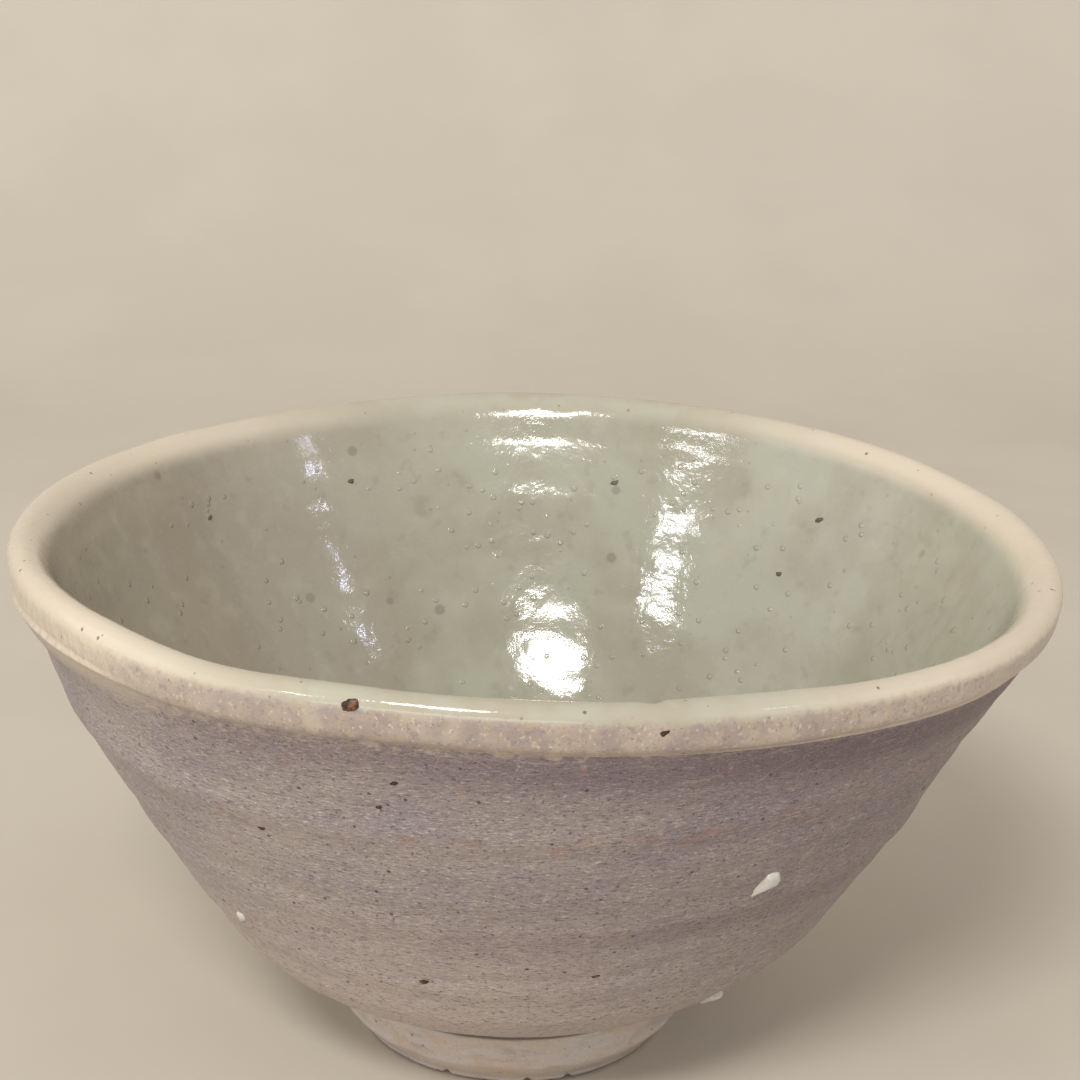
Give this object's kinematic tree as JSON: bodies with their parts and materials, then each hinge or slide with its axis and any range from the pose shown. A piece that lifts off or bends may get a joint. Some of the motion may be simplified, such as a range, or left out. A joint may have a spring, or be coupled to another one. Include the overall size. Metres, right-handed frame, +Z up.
{
  "type": "matcha bowl",
  "caption": "Wide hand-thrown stoneware tea bowl with a rolled lip, mottled glaze and a low turned foot ring.",
  "frame": {"origin": "on the surface that the bowl stands on, under the centre of the mouth's bounding box", "axes": "+Z up out of the bowl, -Y towards the drinker"},
  "size_m": [0.1309, 0.1289, 0.0702],
  "materials": {
    "stoneware": "bare fired stoneware, sandy and matte",
    "outside_glaze": "satin taupe and lavender glaze, mottled, finely wrinkled along the throwing lines",
    "lip_glaze": "glossy cream glaze, speckled peach and grey on its outer face",
    "inside_glaze": "glossy grey-green glaze over soft throwing rings",
    "foot_glaze": "glossy cream glaze with peach patches",
    "white_glaze": "thick glossy white glaze run into drops",
    "iron_glaze": "melted iron, dark brown with a burnt orange edge"
  },
  "bodies": {
    "root": {"clay_body": "stoneware", "foot_ring": "stoneware", "outside_glaze": "outside_glaze", "lip_glaze": "lip_glaze", "inside_glaze": "inside_glaze", "foot_glaze": "foot_glaze", "recess_glaze": "foot_glaze", "glaze_beads": "white_glaze", "iron_grains": "iron_glaze"}
  },
  "joints": []
}
